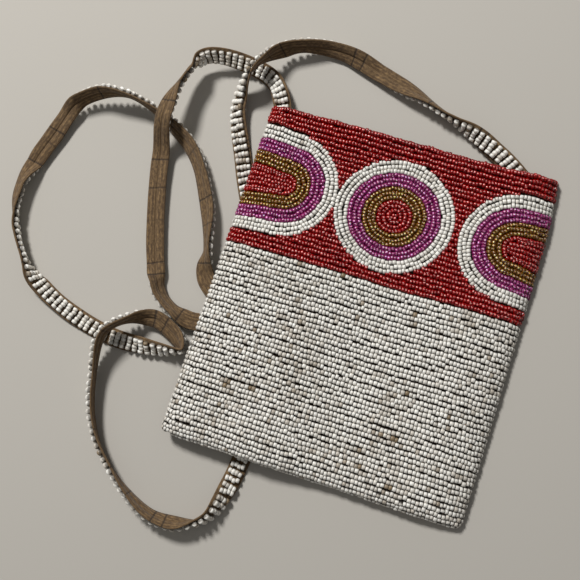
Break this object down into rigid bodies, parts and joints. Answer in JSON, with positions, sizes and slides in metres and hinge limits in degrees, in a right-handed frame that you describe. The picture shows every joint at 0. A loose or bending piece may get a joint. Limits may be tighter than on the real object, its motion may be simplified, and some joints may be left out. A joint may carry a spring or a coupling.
{
  "type": "beaded crossbody bag",
  "caption": "Flat beaded crossbody pouch with an open mouth, a band of ringed motifs over a plain bead field, and a long beaded strap looped beside and under it.",
  "frame": {"origin": "middle of the pouch's box, on the surface that it lies on", "axes": "+X towards the pouch's right side, +Y towards its mouth, +Z out of its beaded front"},
  "size_m": [0.2494, 0.2362, 0.0165],
  "materials": {
    "cloth": "plain woven cloth",
    "tape": "folded cotton tape with white beads sewn along its face",
    "white_beads": "opaque glass beads",
    "red_beads": "silver-lined glass beads",
    "magenta_beads": "silver-lined glass beads",
    "gold_beads": "silver-lined glass beads"
  },
  "bodies": {
    "root": {"front_cloth": "cloth", "back_cloth": "cloth", "field_beads": "white_beads", "band_beads": "red_beads", "left_motif_white": "white_beads", "left_motif_magenta": "magenta_beads", "left_motif_gold": "gold_beads", "left_motif_core": "red_beads", "centre_motif_white": "white_beads", "centre_motif_magenta": "magenta_beads", "centre_motif_gold": "gold_beads", "centre_motif_core": "red_beads", "right_motif_white": "white_beads", "right_motif_magenta": "magenta_beads", "right_motif_gold": "gold_beads", "right_motif_core": "red_beads", "mouth_hem": "red_beads", "strap": "tape"}
  },
  "joints": []
}
